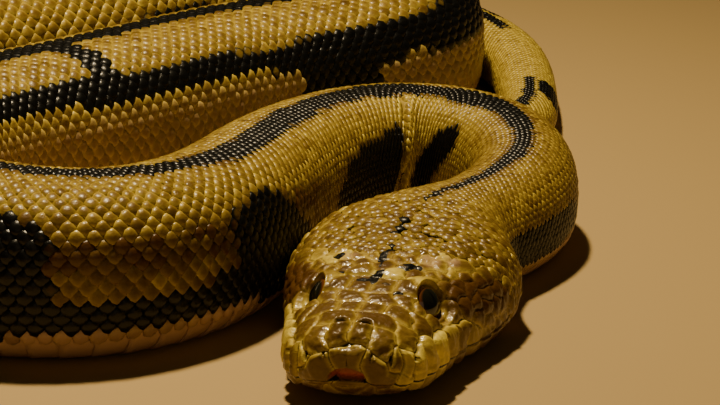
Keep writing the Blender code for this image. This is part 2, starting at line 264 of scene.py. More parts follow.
# Stripe down the spine: distance along, then the share round of its middle, and its half width.
SPINE_LINE = (
    (0, 0.0), (11, -0.01), (20, 0.0), (22.5, 0.01), (24, 0.045), (27, 0.03), (29, 0.035), (34, 0.055),
    (40, 0.075), (43, 0.03), (46, -0.03), (51, -0.07), (60, -0.05), (70, 0.04), (76, 0.06), (90, 0.0),
    (298, 0.0))
# The wider stripe from 66 to 84 along is partly the spine's own black and partly painted shade along the top
# of the rear coil.
SPINE_WIDTH = (
    (0, 0.02), (10.8, 0.1), (12.5, 0.16), (15, 0.26), (18, 0.38), (20, 0.46), (22, 0.62), (25, 0.72),
    (32, 0.68), (40, 0.58), (58, 0.5), (66, 0.72), (84, 0.72), (92, 0.55), (150, 0.55), (260, 0.35),
    (298, 0.15))
# Blotches of the foremost run: rows of share round, then where each starts and ends along the body.
FORE_BLOTCHES = (
    ((0.31, 48.3, 49.6), (0.34, 47.8, 52.0), (0.45, 47.4, 54.0), (0.66, 47.4, 54.5), (0.8, 47.6, 54.0),
     (0.86, 49, 53.0)),
    ((0.35, 41.5, 41.7), (0.37, 41.1, 42.3), (0.40, 40.6, 42.8), (0.47, 40.1, 43.1), (0.54, 39.6, 43.1),
     (0.62, 38.9, 43.0), (0.65, 38.7, 43.4), (0.68, 38.6, 47.2), (0.74, 38.6, 48.6), (0.79, 38.8, 48.6),
     (0.82, 40.0, 42)),
    ((0.37, 28.6, 28.8), (0.39, 28.5, 29.4), (0.42, 28.5, 31.0), (0.44, 28.5, 32.2), (0.48, 28.6, 33.6),
     (0.55, 28.8, 34.4), (0.65, 29.0, 35.2), (0.75, 29.5, 35.2), (0.88, 30.2, 33.6), (0.93, 31, 31.2)),
    ((0.34, 23.0, 23.3), (0.37, 22.7, 24.1), (0.43, 22.7, 25.0), (0.48, 22.9, 25.7), (0.52, 23.3, 26.4),
     (0.60, 24.3, 27.2), (0.69, 25.3, 27.8), (0.80, 25.8, 28.0), (0.9, 26.8, 27.4)))
# Long stripe down the left flank: distance along, then the shares of its upper and lower edges.
FLANK_STRIPE = (
    (54, -0.28, -0.38), (65.7, -0.30, -0.42), (71.5, -0.32, -0.46), (77.7, -0.365, -0.48),
    (82.5, -0.36, -0.55), (86.5, -0.34, -0.53), (90, -0.32, -0.54), (100, -0.3, -0.5),
    (120, -0.32, -0.48), (236, -0.32, -0.46))
TRUNK = (54, 57, 232, 240)                 # its markings fade in, then out, between these distances


def markings(s, a):
    """How black and how pale the animal is, at distances along it and shares round it: pale on the belly, and
    painted light low on the rear coil's left flank.
    """
    half_girth = np.interp(s, STOPS, HALF_GIRTH)

    def within(low, high):
        """1 between two lines round the body, with a soft edge."""
        return ease(np.minimum(a - low, high - a) * half_girth, -0.24, 0.24)

    spine = glide(s, SPINE_LINE)
    width = glide(s, SPINE_WIDTH) * (1 + 0.16 * wander(s, 1.0, 0.9)) / half_girth
    marks = [within(spine - width, spine + width) * ease(s, 10.4, 11.4)]
    for rows in FORE_BLOTCHES:
        inside = np.minimum(s - glide(a, rows, 1), glide(a, rows, 2) - s)
        marks.append(ease(inside, -0.4, 0.36) * (a > rows[0][0] - 0.02) * (a < rows[-1][0] + 0.02))
    # long stripe down the left flank of the trunk, with drops below it and links to the spine
    on_trunk = ease(s, *TRUNK[:2]) * ease(-s, -TRUNK[3], -TRUNK[2])
    uneven = 0.012 * wander(s, 2.0, 1.7)
    marks.append(within(glide(s, FLANK_STRIPE, 2) - uneven, glide(s, FLANK_STRIPE, 1) + uneven) * on_trunk)
    for number in range(15):
        at = 70.4 + 11.4 * number + 1.1 * math.sin(number * 2.1)
        link = patch(s - at + 1.2 * (a + 0.2), a, -0.62, 0.62, -0.42, 0.06)
        drop = patch(s, a, at - 1.9, at + 2.2, -0.72, -0.38)
        marks.append((drop if number % 2 else link) * on_trunk)
    # rounded blotches down the right flank, joined low down
    for number in range(14):
        at = 60.0 + 12.4 * number + 1.3 * math.sin(number * 1.7)
        marks.append(patch(s, a, at - 3.4, at + 3.2, 0.46, 0.8))
    low_band = within(0.55 + 0.03 * wander(s, 3.0, 2.2), 0.78 + 0.02 * wander(s, 4.0, 1.2))
    marks.append(low_band * ease(s, 54, 58) * ease(-s, -TRUNK[3], -TRUNK[2]))
    # broken line down the middle of the crown, and black on the neck's left flank, partly its own marking and
    # partly painted shade
    marks.append(patch(s, a, 6.4, 9.6, -0.03, 0.025) * ease(wander(s, 5.0, 0.4), -0.5, 0.1))
    marks.append(patch(s, a, 10.4, 18.9, -0.8, -0.54))
    # spots and bars of the tail, with one stretch nearly clear of them
    clear = 1 - ease(s, 259, 261) * ease(-s, -268.7, -267.9)
    marks = [np.maximum.reduce(marks) * (1 - ease(s, 240, 250) * (1 - clear))]
    for number in range(9):
        at = 238.0 + 6.3 * number
        side = 1 if number % 2 else -1
        marks.append(patch(s, side * a, at - 1.1, at + 1.1, 0.12, 0.62) * clear)
        marks.append(patch(s, -side * a, at + 1.6, at + 3.4, 0.3, 0.8) * (s > 244) * clear)
    black = np.maximum.reduce(marks)
    belly_from = 0.82 + 0.03 * wander(s, 5.0, 1.6)
    pale = ease(np.abs(a), belly_from - 0.05, belly_from + 0.05)
    # painted light: paler low on the left flank of the rear coil
    pale = np.maximum(pale, 0.4 * ease(-a, 0.46, 0.6) * ease(s, 52, 60) * ease(-s, -112, -100))
    return black, pale * (1 - black)


def link_object(name, data):
    """Put a mesh, a lamp or a camera in the scene."""
    obj = bpy.data.objects.new(name, data)
    bpy.context.scene.collection.objects.link(obj)
    return obj


def solid_mesh(name, points, faces):
    """A smooth mesh from points in metres and its faces."""
    mesh = bpy.data.meshes.new(name)
    mesh.from_pydata(points.tolist(), [], faces)
    mesh.validate()
    mesh.shade_smooth()
    return mesh


def give_values(mesh, **values):
    """Keep one number or vector per point under each name, for materials and instances to read."""
    for name, numbers in values.items():
        numbers = np.asarray(numbers, dtype=np.float32)
        kind, field = ("FLOAT_VECTOR", "vector") if numbers.ndim == 2 else ("FLOAT", "value")
        mesh.attributes.new(name, kind, "POINT").data.foreach_set(field, numbers.ravel())


def tube_quads(rings, around):
    """Faces between the rings of a tube."""
    points = np.arange(rings * around).reshape(rings, around)
    after = np.roll(points, -1, axis=1)
    return np.stack((points[:-1], after[:-1], after[1:], points[1:]), axis=-1).reshape(-1, 4).tolist()


def tube_faces(rings, around):
    """A tube of rings, with the first and last ring closed on a point each."""
    first = rings * around
    base = first - around
    faces = tube_quads(rings, around)
    faces += [(first, (k + 1) % around, k) for k in range(around)]
    return faces + [(first + 1, base + k, base + (k + 1) % around) for k in range(around)]


def make_hide():
    """The whole skin as one closed tube, sunk deepest under the shell of head plates."""
    around = 96
    stops = np.concatenate((np.linspace(0.62, 13, 150), np.linspace(13, LENGTH - 0.05, 620)[1:]))
    angles = np.linspace(0, 2 * math.pi, around, endpoint=False)
    s, angle = np.meshgrid(stops, angles, indexing="ij")
    depth = 0.06 + 0.2 * ease(-s, -9.4, -7.2) + 0.14 * ease(-s, -1.6, -0.4)
    points = press_orbits(np.stack((s, *outline(s, angle, -depth)), axis=-1), 0.12).reshape(-1, 3)
    points = np.concatenate((points, [(0.6, 0.0, 1.9), (LENGTH - 0.01, 0.0, 0.1)]))
    mesh = solid_mesh("hide", spot(*points.T), tube_faces(len(stops), around))
    black, pale = markings(s, share_at(s, angle))
    give_values(mesh, black=np.append(black, (0, 0)), pale=np.append(pale, (0, 0)))
    return link_object("hide", mesh)


def add_node(tree, kind, inputs=(), **options):
    """Add a node. inputs holds (socket, value) pairs; a value may be another node's output."""
    node = tree.nodes.new(kind)
    for name, value in options.items():
        setattr(node, name, value)
    for socket, value in inputs:
        if isinstance(value, bpy.types.NodeSocket):
            tree.links.new(value, node.inputs[socket])
        else:
            node.inputs[socket].default_value = value
    return node


def reckon(tree, operation, *values, clamp=False):
    """One step of arithmetic on values or other nodes' outputs."""
    node = add_node(tree, "ShaderNodeMath", enumerate(values), operation=operation, use_clamp=clamp)
    return node.outputs["Value"]


def colour_ramp(tree, source, *stops):
    """Turn a value into a colour; each stop is a position and its colour."""
    node = add_node(tree, "ShaderNodeValToRGB", [("Fac", source)])
    elements = node.color_ramp.elements
    elements[1].position = stops[-1][0]
    for position, _ in stops[1:-1]:
        elements.new(position)
    for element, (position, colour) in zip(elements, stops):
        element.position, element.color = position, (*colour, 1)
    return node.outputs["Color"]


def mixed(tree, factor, first, second, blend="MIX"):
    """Blend one colour into another."""
    sockets = ((0, factor), (6, first), (7, second))
    return add_node(tree, "ShaderNodeMix", sockets, data_type="RGBA", blend_type=blend).outputs[2]


def noise(tree, scale, detail):
    """Cloudy noise on the object's own coordinates."""
    coordinates = add_node(tree, "ShaderNodeTexCoord").outputs["Object"]
    sockets = (("Vector", coordinates), ("Scale", scale), ("Detail", detail))
    return add_node(tree, "ShaderNodeTexNoise", sockets).outputs["Fac"]


def colour_group():
    """Shared colouring of skin and scales: gold with amber middles, black markings, a pale belly, and pale
    patches of painted light and gloss.
    """
    tree = bpy.data.node_groups.new("python_colouring", "ShaderNodeTree")
    for name in ("Black", "Pale", "Tone", "Middle", "Brown", "Flush"):
        tree.interface.new_socket(name, in_out="INPUT", socket_type="NodeSocketFloat")
    tree.interface.new_socket("Colour", in_out="OUTPUT", socket_type="NodeSocketColor")
    tree.interface.new_socket("Roughness", in_out="OUTPUT", socket_type="NodeSocketFloat")
    given = tree.nodes.new("NodeGroupInput").outputs
    mottle = noise(tree, 420, 3)
    # across each scale: a thin dark edge, a pale rim and a dark amber middle; the pale rims are partly the
    # scales' own light margins and partly painted highlight, the dark middles partly painted shade
    flesh = colour_ramp(
        tree, given["Middle"], (0.0, (0.24, 0.17, 0.024)), (0.2, (0.72, 0.57, 0.10)),
        (0.5, (0.42, 0.31, 0.045)), (1.0, (0.18, 0.11, 0.017)))
    warm = colour_ramp(
        tree, given["Tone"], (0.0, (0.5, 0.42, 0.34)), (0.5, (1.0, 1.0, 1.0)), (1.0, (1.4, 1.5, 1.5)))
    freckles = colour_ramp(tree, mottle, (0.3, (0.5, 0.42, 0.35)), (0.7, (1.25, 1.28, 1.3)))
    toned = mixed(tree, 1.0, flesh, warm, "MULTIPLY")
    freckled = mixed(tree, 0.45, toned, freckles, "MULTIPLY")
    tanned = mixed(tree, given["Brown"], freckled, (0.085, 0.036, 0.006, 1))
    # Pale brings in the pale belly and throat, and also painted light low on the rear coil and painted gloss
    # on the crown
    pale_belly_and_painted_light = mixed(tree, given["Pale"], tanned, (0.55, 0.35, 0.25, 1))
    flushed = mixed(tree, given["Flush"], pale_belly_and_painted_light, (0.42, 0.06, 0.02, 1))
    # black takes the rim of a scale before its middle, so that a marking ends in loose scales
    doubled = reckon(tree, "MULTIPLY_ADD", given["Black"], 2.0, -0.15)
    black = reckon(tree, "MULTIPLY", reckon(tree, "SUBTRACT", doubled, given["Middle"]), 2.5, clamp=True)
    add_node(tree, "NodeGroupOutput", (
        ("Colour", mixed(tree, black, flushed, (0.0035, 0.0035, 0.003, 1))),
        ("Roughness", reckon(tree, "MULTIPLY_ADD", mottle, 0.14, 0.26))))
    return tree


def read_value(tree, name):
    """One of the piece's own values."""
    return add_node(tree, "ShaderNodeAttribute", attribute_name=name).outputs["Fac"]


def swell(tree, scale, detail, strength, deep, start=None):
    """Bumps that follow a noise, laid over another set of bumps where one is given."""
    sockets = [("Height", noise(tree, scale, detail)), ("Strength", strength), ("Distance", deep)]
    if start:
        sockets.append(("Normal", start))
    return add_node(tree, "ShaderNodeBump", sockets).outputs["Normal"]


COLOURING = colour_group()


def horn_material(name, values, extra=(), coat=0.1, coat_rough=0.16, bump=0.15, grain=2600, ripple=0.0):
    """Thin glossy horn over the coloured skin. Each colour input in values reads the value of its name."""
    material = bpy.data.materials.new(name)
    material.use_nodes = True
    tree = material.node_tree
    read = [(value, read_value(tree, value.lower())) for value in values.split()]
    colouring = add_node(tree, "ShaderNodeGroup", (*read, *extra), node_tree=COLOURING)
    shader = tree.nodes["Principled BSDF"]
    tree.links.new(colouring.outputs["Colour"], shader.inputs["Base Color"])
    tree.links.new(colouring.outputs["Roughness"], shader.inputs["Roughness"])
    shader.inputs["Specular IOR Level"].default_value = 0.26
    shader.inputs["Coat Weight"].default_value = coat
    shader.inputs["Coat Roughness"].default_value = coat_rough
    coarse = swell(tree, 380, 4, ripple, 0.001) if ripple else None
    tree.links.new(swell(tree, grain, 2, bump, 0.0002, coarse), shader.inputs["Normal"])
    return material


hide = make_hide()
hide.data.materials.append(horn_material(
    "skin_between_scales", "Black Pale", extra=(("Tone", 0.3), ("Middle", 0.12)), coat=0.0))
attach(hide, "root")
flesh_nodes = [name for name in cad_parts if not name.startswith("eye")]
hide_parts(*flesh_nodes)

# ---- Head plates -------------------------------------------------------------------------------
# Large smooth plates over the snout, lips, crown and cheeks, each a low cushion whose rear edge
# stands over the next. They grow edge to edge, so they are one closed shell worked into relief.

# Plates as cushion, tone, brown, then their seeds as (distance back, angle).
PLATES = (                                 # on the middle line: front of the snout, and crown
    (0.05, 0.66, 0.08, (0.06, -90), (0.02, 60)), (0.06, 0.5, 0.1, (6.1, 87)))
PAIRED_PLATES = (
    # snout: pads of the lips, under the nostril, round it, and the side
    (0.1, 0.64, 0.1, (0.13, -8), (0.38, -16)), (0.07, 0.66, 0.0, (0.5, 14)), (0.08, 0.5, 0.1, (0.62, 79)),
    (0.06, 0.4, 0.35, (1.62, 80), (1.5, 70)), (0.05, 0.5, 0.1, (0.77, 60), (0.45, 42)),
    (0.05, 0.5, 0.3, (1.25, 34), (1.65, 46)), (0.06, 0.45, 0.25, (2.45, 68), (2.3, 56)),
    (0.05, 0.4, 0.2, (2.45, 82)),
    # upper lip
    (0.12, 0.62, 0.08, (0.66, -14), (0.75, 14)), (0.15, 0.66, 0.06, (1.25, -16), (1.3, 12)),
    (0.16, 0.74, 0.0, (2.0, -18), (2.05, 16)), (0.16, 0.74, 0.0, (2.9, -18), (2.95, 17)),
    (0.14, 0.72, 0.0, (3.8, -18), (3.85, 14)), (0.11, 0.7, 0.05, (4.65, -18), (4.7, 10)),
    (0.07, 0.6, 0.15, (5.5, -19), (5.5, 0)), (0.06, 0.5, 0.25, (6.3, -20), (6.4, -6)),
    (0.05, 0.45, 0.3, (7.1, -22), (7.2, -10)), (0.05, 0.45, 0.3, (7.9, -24), (8.0, -14)),
    # before and under the eye
    (0.07, 0.45, 0.3, (2.45, 38), (2.7, 42)), (0.06, 0.5, 0.25, (3.25, 35)), (0.05, 0.55, 0.15, (3.35, 49)),
    (0.05, 0.65, 0.1, (3.95, 27)), (0.05, 0.6, 0.1, (4.75, 24)),
    # behind the eye
    (0.06, 0.5, 0.3, (5.35, 27)), (0.07, 0.6, 0.1, (5.4, 39)), (0.06, 0.65, 0.0, (5.3, 50)),
    # crown
    (0.06, 0.4, 0.15, (3.2, 80)), (0.06, 0.45, 0.1, (3.35, 64)), (0.07, 0.35, 0.25, (4.15, 72)),
    (0.05, 0.35, 0.3, (4.1, 84)), (0.07, 0.6, 0.0, (4.65, 62), (5.2, 60)), (0.12, 0.6, 0.0, (5.2, 82)),
    (0.05, 0.3, 0.5, (5.4, 73)), (0.07, 0.7, 0.0, (6.3, 72)), (0.06, 0.7, 0.1, (6.2, 61)),
    (0.06, 0.7, 0.0, (6.85, 66)), (0.06, 0.6, 0.0, (6.9, 53)))
SHELL_END = ((-90, 9.3), (-30, 9.3), (-5, 8.7), (20, 8.0), (45, 7.6), (90, 6.9))   # angle, distance back
MOUTH = (
    (0.0, 1.45), (0.15, 1.34), (0.6, 1.19), (1.6, 1.12), (2.9, 1.05), (4.5, 0.93), (6.5, 0.85), (8.9, 0.98))
EYE_OPENING = 0.57
EYE_EDGES = ((0.1, 0.055), (0.2, 0.035), (0.05, 0.13))   # ring, crease, flat: beyond the opening, breadth
BROW, BROW_BEHIND = 0.85, 0.1              # radius of the raised rim, and its centre behind the eye's
# Places on the head are distance back, distance out and height.
PADS = (                                   # relief, place, half sizes: lip pads, nostril domes, hollows
    (0.1, (0.2, 0.92, 1.75), (0.5, 0.4, 0.34)), (0.1, (0.95, 0.37, 2.8), (0.4, 0.25, 0.5)),
    (-0.15, (0.22, 0.0, 2.5), (0.4, 0.3, 0.15)), (-0.06, (0.25, 0.95, 2.26), (0.4, 0.6, 0.1)),
    (-0.06, (0.1, 0.0, 1.98), (0.3, 0.2, 0.3)))
PITS = (                # place, half sizes (9 leaves that way open), depth, painted shade in the hollow: nostrils, lip pits
    ((1.08, 0.37, 2.9), (0.2, 0.2, 9), 0.3, 1.0), ((0.14, 0.74, 2.14), (9, 0.055, 0.16), 0.1, 0.42),
    ((0.42, 1.3, 2.02), (9, 0.06, 0.15), 0.1, 0.42), ((1.1, 1.85, 1.9), (0.06, 9, 0.13), 0.08, 0.42))
WRINKLES = ((0.4, 0.31, 0.007), (1.3, 0.23, 0.006), (2.4, 0.19, 0.005))   # direction, spacing, height
CROWN_BLACK = (                            # distance back and out, half sizes, strength
    (4.55, 0.0, (0.35, 0.16), 1.0), (4.95, -0.12, (0.3, 0.12), 1.0), (6.2, 0.05, (0.4, 0.15), 1.0),
    (5.65, 0.02, (0.25, 0.09), 0.9), (6.75, -0.05, (0.28, 0.12), 0.9), (7.6, 0.02, (0.35, 0.12), 0.85),
    (4.35, 0.32, (0.14, 0.26), 0.8), (5.75, -1.0, (0.16, 0.34), 0.95), (5.5, -0.75, (0.12, 0.2), 0.85),
    (3.75, -0.95, (0.14, 0.16), 0.7), (6.3, 1.55, (0.16, 0.2), 0.8), (4.2, -0.45, (0.1, 0.2), 0.7),
    (5.0, 1.25, (0.12, 0.25), 0.75), (6.9, 0.75, (0.12, 0.2), 0.7))
# Painted gloss on the crown: pale patches in place of the lamp's reflection, in the same columns.
CROWN_PAINTED_GLOSS = (
    (6.4, -1.5, (0.45, 0.3), 0.4), (6.8, -2.1, (0.3, 0.25), 0.35), (6.25, 1.25, (0.22, 0.35), 0.3))


def plate_seeds():
    """Every plate's seeds in the head's own space, with its number and its look."""
    seeds, owner, looks = [], [], []
    chance = np.random.default_rng(4)

    def on_head(back, angle, side):
        out, height = outline(np.array([back]), np.array([math.radians(angle)]), 0.0)
        return back, side * out[0], height[0]

    def add(side, cushion, tone, brown, *places):
        for back, angle in places:
            seeds.append(on_head(back, angle, side))
            owner.append(len(looks))
        tone += chance.normal(0, 0.07) - 0.04
        looks.append((cushion, tone, np.clip(brown + chance.normal(0, 0.08), 0, 1)))

    for row in PLATES:
        add(1, *row)
    for row in PAIRED_PLATES:
        add(-1, *row)
        add(1, *row)
    # lower lip, chin and throat
    for number in range(11):
        back = 0.75 + 0.78 * number
        for side in (-1, 1):
            add(side, 0.04, 0.45, 0.35, (back, -50 - 0.6 * number))
            add(side, 0.03, 0.5, 0.3, (back + 0.3, -66))
            add(side, 0.03, 0.6, 0.2, (back - 0.1, -80))
    add(1, 0.03, 0.45, 0.3, (0.3, -90))
    # small plates that fill the crown and the cheeks
    for back in np.arange(5.6, 9.4, 0.31):
        for number, angle in enumerate(np.arange(-10, 90, 6.2)):
            place = (back + 0.18 * (number % 2) + chance.normal(0, 0.05), angle + chance.normal(0, 1.2))
            room = 0.37 if place[1] > 45 else 0.44
            for side in (-1, 1):
                if np.linalg.norm(np.array(seeds) - on_head(*place, side), axis=1).min() > room:
                    add(side, 0.055, 0.42 + chance.normal(0, 0.1), abs(chance.normal(0, 0.15)), place)
    return np.array(seeds), np.array(owner), np.array(looks)


def edge_at(angle, table):
    """Distance back at which a covering begins or ends, at an angle on either flank."""
    return glide(np.degrees(np.arcsin(np.sin(angle))), table)


def shell_surface():
    """The shell before its relief: distances back, angles, places on the head, directions outward."""
    around, rings = 340, 215
    fine = np.linspace(0, 9.4, 2000)
    profile = np.concatenate(([0], np.cumsum(np.hypot(np.diff(fine), np.diff(section(fine)[0])))))
    angles = np.linspace(0, 2 * math.pi, around, endpoint=False)
    ends = np.interp(edge_at(angles, SHELL_END), fine, profile)
    ring_share = np.linspace(0.004, 1, rings)
    s = np.interp((ring_share[:, None] * ends).ravel(), profile, fine).reshape(rings, around)
    angle = np.broadcast_to(angles, s.shape)
    base = np.stack((s, *outline(s, angle, -0.05)), axis=-1)
    blend = ease(-s, -1.4, -0.5)[..., None]
    for _ in range(14):
        eased = base.copy()
        eased[1:-1] = (base[:-2] + 2 * base[1:-1] + base[2:]) / 4
        base = base * (1 - blend) + eased * blend
    across = (np.roll(base, -1, axis=1) - np.roll(base, 1, axis=1)) / 2
    normal = np.cross(across, np.gradient(base, axis=0))
    normal /= np.linalg.norm(normal, axis=-1, keepdims=True) + 1e-12
    behind_snout = slice(60, None)             # rings whose sides face sideways
    normal *= np.sign((normal[behind_snout, :, 1] * base[behind_snout, :, 1]).sum())
    return ring_share, s, angle, base, normal


def nearest_plates(base, seeds, owner):
    """For each point: its plate, how far it is from the plate's edge, and its seed's distance back."""
    x, y, z = base[..., 0], base[..., 1], base[..., 2]
    warp = 0.06 * np.stack((np.sin(3.1 * y + 5 * z), np.sin(4.3 * x + 2), np.sin(3.7 * x + 4 * y)), axis=-1)
    warp += 0.03 * np.stack((np.sin(9 * z + 2 * x), np.sin(8 * x + 5 * z), np.sin(11 * x - 3 * y)), axis=-1)
    points = (base + warp).reshape(-1, 3)
    to_plate = np.full((len(points), owner.max() + 1), 99.0)
    seed_of = np.zeros(to_plate.shape, dtype=int)
    for number, (seed, plate) in enumerate(zip(seeds, owner)):
        distance = np.linalg.norm(points - seed, axis=1)
        closer = distance < to_plate[:, plate]
        to_plate[closer, plate] = distance[closer]
        seed_of[closer, plate] = number
    closest = np.argpartition(to_plate, 2, axis=1)[:, :2]
    rows = np.arange(len(points))
    turned = to_plate[rows, closest[:, 0]] > to_plate[rows, closest[:, 1]]
    closest[turned] = closest[turned, ::-1]
    near, other = closest.T
    apart = np.linalg.norm(seeds[seed_of[rows, near]] - seeds[seed_of[rows, other]], axis=1)
    edge = (to_plate[rows, other] ** 2 - to_plate[rows, near] ** 2) / (2 * apart)
    shape = base.shape[:2]
    return near.reshape(shape), edge.reshape(shape), seeds[seed_of[rows, near], 0].reshape(shape)


def read_each(items, field):
    """One whole number from each of a mesh's items."""
    numbers = np.empty(len(items), dtype=int)
    items.foreach_get(field, numbers)
    return numbers


def unwrap_shell(mesh, u, v):
    """Lay the shell out on its OFBake map; faces over the seam stay whole."""
    corners, totals = read_each(mesh.loops, "vertex_index"), read_each(mesh.polygons, "loop_total")
    face_of = np.repeat(np.arange(len(totals)), totals)
    widest = np.zeros(len(totals))
    np.maximum.at(widest, face_of, u[corners])
    over_seam = (widest[face_of] > 0.9) & (u[corners] < 0.1)
    flat = np.stack((0.005 + 0.985 * (u[corners] + over_seam), 0.01 + 0.98 * v[corners]), axis=1)
    mesh.uv_layers.new(name="OFBake").data.foreach_set("uv", flat.astype(np.float32).ravel())


def open_eyes(base):
    """Raise a rim round each eye and open a bowl on to it; also where the opening and its edges are."""
    depth, off_axis, looks_to = from_eye(base)
    beside = np.hypot(depth + BROW_BEHIND, off_axis)
    rise = above_zero(BROW - beside, 0.01) * ease(-beside, -2.0, -1.0)
    sideways = np.where(base[..., 1] < 0, -EYE_OUT, EYE_OUT)
    centre = np.stack(np.broadcast_arrays(EYE_BACK, sideways, EYE_UP), axis=-1) - looks_to * BROW_BEHIND
    outward = (base - centre) / (np.linalg.norm(base - centre, axis=-1, keepdims=True) + 1e-6)
    shaped = base + outward * rise[..., None]
    depth, off_axis, looks_to = from_eye(shaped)
    opening = ease(-off_axis, -EYE_OPENING - 0.04, -EYE_OPENING + 0.02) * (depth > 0)
    placed = press_orbits(shaped)
    depth = from_eye(placed)[0]
    placed = placed - looks_to * (np.maximum(depth - 0.1, 0) * opening)[..., None]
    edges = [
        np.exp(-((off_axis - EYE_OPENING - beyond) / breadth) ** 2) * ease(depth, -0.1, 0.1)
        for beyond, breadth in EYE_EDGES]
    return placed, opening, edges


def make_head_shell():
    """The shell of plates: relief, eye openings, nostrils, lip pits and the mouth line."""
    ring_share, s, angle, base, normal = shell_surface()
    back, out, height = (base[..., k] for k in range(3))
    wide = np.abs(out)
    seeds, owner, looks = plate_seeds()
    near, edge, seed_back = nearest_plates(base, seeds, owner)
    cushion, tone, brown = (looks[near, k] for k in range(3))

    def from_place(place, size):
        """Distance from a place on both sides of the head, over the half sizes of a blob round it."""
        return np.sqrt(sum(((x - at) / half) ** 2 for x, at, half in zip((back, wide, height), place, size)))

    def strongest(marks, low, high):
        """How strong a table's rounded marks are on the crown."""
        found = [much * ease(-np.hypot((back - at_back) / size[0], (out - at_out) / size[1]), low, high)
                 for at_back, at_out, size, much in marks]
        return np.maximum.reduce(found) * (height > 2.2)

    # a cushion to each plate, low at the seams, and browner behind the snout
    lift = 1.25 * cushion * (1 - np.exp(-edge / 0.07)) + 0.6 * cushion * (1 - np.exp(-edge / 0.3))
    lift += np.clip(0.05 * (back - seed_back), -0.02, 0.035) * ease(edge, 0, 0.04)
    calm = ease(tone, 0.54, 0.68)
    middle = np.clip(edge / 0.17, 0, 1) * (1 - calm) + np.clip(edge / 0.3, 0, 0.3) * calm
    behind_snout = ease(back, 0.9, 2.2) * (1 - calm)
    tone = tone - 0.08 * behind_snout
    seam = (0.65 - 0.25 * calm) * np.exp(-(edge / 0.04) ** 2)
    brown = np.maximum.reduce((brown, 0.24 * behind_snout, seam))
    for much, place, size in PADS:
        lift += much * np.exp(-from_place(place, size) ** 2)
    black = 0.45 * np.exp(-from_place((0.15, 0.0, 2.52), (0.3, 0.3, 0.13)) ** 2)
    black = np.maximum(black, 0.12 * np.exp(-(edge / 0.035) ** 2) * (1 - 0.8 * calm))
    in_front = (height >= 1.55) & (back <= 2)
    for place, size, deep, dark in PITS:
        far = from_place(place, size) + 9 * ~in_front
        lift += 0.04 * np.exp(-((far - 1.5) / 0.35) ** 2) - deep * ease(-far, -1.2, -0.5)
        # painted shade inside each nostril and lip pit
        black = np.maximum(black, dark * ease(-far, -1.15, -0.8))
    # mouth: a line along the lips, a lower jaw set back under it and darkened by painted shade, and the notch
    # in front
    below = glide(back, MOUTH) - height
    in_mouth = ease(-back, -8.8, -8.0)
    lift -= 0.1 * np.exp(-(below / 0.05) ** 2) * in_mouth
    lift -= 0.09 * ease(below, 0.0, 0.1) * ease(-back, -7.5, -3.0)
    black = np.maximum(black, 0.8 * np.exp(-(below / 0.035) ** 2) * in_mouth)
    arch = 1.42 + 0.4 * np.sqrt(np.clip(1 - (wide / 0.62) ** 2, 0, 1))
    notch = ease(arch - height, -0.03, 0.08) * ease(-below, -0.02, 0.05) * ease(-wide, -0.6, -0.5)
    notch *= back < 0.7
    lift -= 0.3 * notch
    flush = notch * (0.25 + 0.6 * ease(below, -0.32, -0.08))
    black *= 1 - 0.8 * notch
    # painted shade: the lower jaw under the lips darker and browner
    lower_jaw_shade = ease(below, 0.02, 0.12)
    tone = tone - 0.2 * lower_jaw_shade
    brown = np.maximum.reduce((brown, 0.75 * notch, 0.5 * lower_jaw_shade))
    # shallow wrinkles over the softer skin between the large plates
    for turn_by, spacing, tall in WRINKLES:
        run = (back * math.cos(turn_by) + out * math.sin(turn_by)) / spacing * 6.3
        lift += tall * np.sin(run + 2.5 * np.sin(2.3 * height + 1.7 * back) + 1.5 * np.sin(2.9 * out))

    placed, opening, (ring, crease, flat) = open_eyes(base)
    lift = lift * (1 - 0.8 * flat) * (1 - opening) + 0.06 * ring - 0.03 * crease
    # the shell's rear edge sinks under the scales behind it
    end = edge_at(angle, SHELL_END)
    lift -= 0.16 * ease(s, end - 0.25, end)
    placed = placed + normal * lift[..., None]

    # markings: dark cheeks, duller behind and at the front, the loose marks of the crown, and painted gloss
    # on the crown
    dark_cheek = patch(back, height - 0.22 * (6.2 - back), 4.7, 8.3, 1.6, 2.85, 0.3) * (wide > 1.2)
    tone = tone * (1 - 0.8 * dark_cheek)
    brown = np.maximum.reduce((
        brown, 0.97 * dark_cheek, 0.5 * ease(-height, -1.75, -1.1) * ease(back, 4.5, 7.0),
        0.45 * ease(-back, -0.9, 0.1) * ease(-height, -2.6, -2.1), 0.75 * ring * opening))
    black = np.maximum.reduce((black, 0.15 * dark_cheek, strongest(CROWN_BLACK, -1.25, -0.75)))
    # pale: painted gloss on the crown, and the pale throat
    pale = np.maximum(strongest(CROWN_PAINTED_GLOSS, -1.3, -0.6), 0.5 * ease(below, 0.9, 1.3))

    points = np.concatenate((placed.reshape(-1, 3), placed[:1].mean(axis=1), placed[-1:].mean(axis=1)))
    points[:, 2] = np.maximum(points[:, 2], 0)
    mesh = solid_mesh("head_plates", spot(*points.T), tube_faces(*s.shape))
    for name, values in (
            ("black", black), ("pale", pale), ("tone", tone), ("middle", middle), ("brown", brown),
            ("flush", flush)):
        give_values(mesh, **{name: np.append(values, (values[0, 0], values[-1, 0]))})
    rings, around = s.shape
    u = np.append(np.tile(np.arange(around) / around, rings), (0.5, 0.5))
    unwrap_shell(mesh, u, np.append(np.repeat(ring_share, around), (0.0, 1.0)))
    return link_object("head_plates", mesh)


head_plates = make_head_shell()
head_plates.data.materials.append(horn_material(
    "head_horn", "Black Pale Tone Middle Brown Flush", coat=0.28, coat_rough=0.09, bump=0.25, grain=1500,
    ripple=0.5))
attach(head_plates, "root")

# ---- Eyes --------------------------------------------------------------------------------------
# Each eye is one glossy ball under a clear fixed scale: a black upright slit in a dark olive iris,
# with a thin rust-coloured edge. It lies loose in its bowl.
EYE_FACE, EYE_DEPTH = 0.66, 0.55           # half size across its face, and through it
SLIT, SLIT_REACH = 0.06, 0.46              # half width and half height of the pupil


